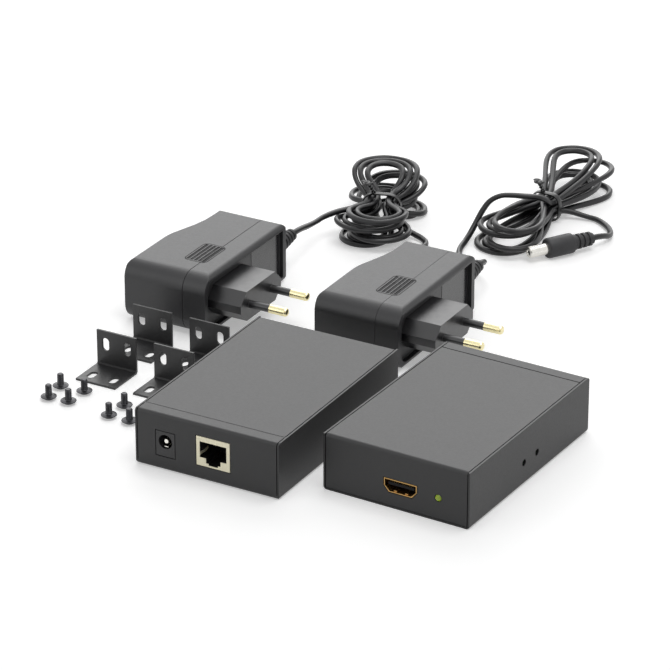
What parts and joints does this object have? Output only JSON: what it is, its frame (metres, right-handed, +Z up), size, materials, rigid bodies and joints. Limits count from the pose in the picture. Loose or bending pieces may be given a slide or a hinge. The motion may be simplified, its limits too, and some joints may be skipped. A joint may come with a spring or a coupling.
{
  "type": "video extender set",
  "caption": "Matching sheet-metal transmitter and receiver boxes with video, network and power sockets, plug-in adapters with tied leads, and angle brackets with screws.",
  "frame": {"origin": "middle of the receiver's underside, on the plane that the set stands on", "axes": "X across the receiver, Y along it from its network end to its video end, Z up"},
  "size_m": [0.2272, 0.3573, 0.0285],
  "materials": {
    "case_sheet": "fine satin texture",
    "cover_sheet": "fine satin texture",
    "zinc_screw": "plain",
    "board_green": "solder mask",
    "brass_post": "turned",
    "chip_black": "moulded",
    "shield_tin": "tinned",
    "socket_black": "moulded",
    "contact_gold": "plated",
    "contact_tin": "plated",
    "video_gold": "plated",
    "lamp_green": "diffuse",
    "adapter_case": "fine satin texture",
    "plug_body": "satin",
    "pin_plate": "nickel plated",
    "inner_card": "plain",
    "relief_rubber": "matt",
    "cord_black": "satin",
    "tie_black": "smooth",
    "grip_black": "satin",
    "barrel_nickel": "plated",
    "bracket_black": "satin",
    "screw_black": "blackened"
  },
  "bodies": {
    "receiver": {"receiver_tray": "case_sheet", "receiver_cover": "cover_sheet", "receiver_cover_screws": "zinc_screw", "receiver_circuit_board": "board_green", "receiver_standoffs": "brass_post", "receiver_board_screws": "zinc_screw", "receiver_network_shield": "shield_tin", "receiver_network_insert": "socket_black", "receiver_network_contacts": "contact_gold", "receiver_power_socket": "socket_black", "receiver_power_contacts": "contact_tin", "receiver_video_shell": "video_gold", "receiver_video_tongue": "socket_black", "receiver_lamp": "lamp_green", "receiver_chips": "chip_black"},
    "transmitter": {"transmitter_tray": "case_sheet", "transmitter_cover": "cover_sheet", "transmitter_cover_screws": "zinc_screw", "transmitter_circuit_board": "board_green", "transmitter_standoffs": "brass_post", "transmitter_board_screws": "zinc_screw", "transmitter_network_shield": "shield_tin", "transmitter_network_insert": "socket_black", "transmitter_network_contacts": "contact_gold", "transmitter_power_socket": "socket_black", "transmitter_power_contacts": "contact_tin", "transmitter_video_shell": "video_gold", "transmitter_video_tongue": "socket_black", "transmitter_lamp": "lamp_green", "transmitter_chips": "chip_black"},
    "adapter_a": {"adapter_a_back_shell": "adapter_case", "adapter_a_front_shell": "adapter_case", "adapter_a_plug_insert": "plug_body", "adapter_a_pins": "pin_plate", "adapter_a_inner_board": "inner_card", "adapter_a_gland": "relief_rubber", "adapter_a_lead": "cord_black", "adapter_a_hank": "cord_black", "adapter_a_tail": "cord_black", "adapter_a_tie": "tie_black", "adapter_a_dc_plug": "grip_black", "adapter_a_dc_barrel": "barrel_nickel"},
    "adapter_b": {"adapter_b_back_shell": "adapter_case", "adapter_b_front_shell": "adapter_case", "adapter_b_plug_insert": "plug_body", "adapter_b_pins": "pin_plate", "adapter_b_inner_board": "inner_card", "adapter_b_gland": "relief_rubber", "adapter_b_lead": "cord_black", "adapter_b_hank": "cord_black", "adapter_b_tail": "cord_black", "adapter_b_tie": "tie_black", "adapter_b_dc_plug": "grip_black", "adapter_b_dc_barrel": "barrel_nickel"},
    "loose_bracket_1": {"bracket_1": "bracket_black"},
    "loose_bracket_2": {"bracket_2": "bracket_black"},
    "loose_bracket_3": {"bracket_3": "bracket_black"},
    "loose_bracket_4": {"bracket_4": "bracket_black"},
    "loose_screws": {"bracket_screws": "screw_black"}
  },
  "joints": [
    {"name": "transmitter_lift", "type": "slide", "parent": "receiver", "child": "transmitter", "axis": [0, 0, 1], "range_m": [0, 0.06]},
    {"name": "adapter_a_lift", "type": "slide", "parent": "receiver", "child": "adapter_a", "axis": [0, 0, 1], "range_m": [0, 0.06]},
    {"name": "adapter_b_lift", "type": "slide", "parent": "receiver", "child": "adapter_b", "axis": [0, 0, 1], "range_m": [0, 0.06]},
    {"name": "loose_bracket_1_lift", "type": "slide", "parent": "receiver", "child": "loose_bracket_1", "axis": [0, 0, 1], "range_m": [0, 0.04]},
    {"name": "loose_bracket_2_lift", "type": "slide", "parent": "receiver", "child": "loose_bracket_2", "axis": [0, 0, 1], "range_m": [0, 0.04]},
    {"name": "loose_bracket_3_lift", "type": "slide", "parent": "receiver", "child": "loose_bracket_3", "axis": [0, 0, 1], "range_m": [0, 0.04]},
    {"name": "loose_bracket_4_lift", "type": "slide", "parent": "receiver", "child": "loose_bracket_4", "axis": [0, 0, 1], "range_m": [0, 0.04]},
    {"name": "loose_screws_lift", "type": "slide", "parent": "receiver", "child": "loose_screws", "axis": [0, 0, 1], "range_m": [0, 0.03]}
  ]
}
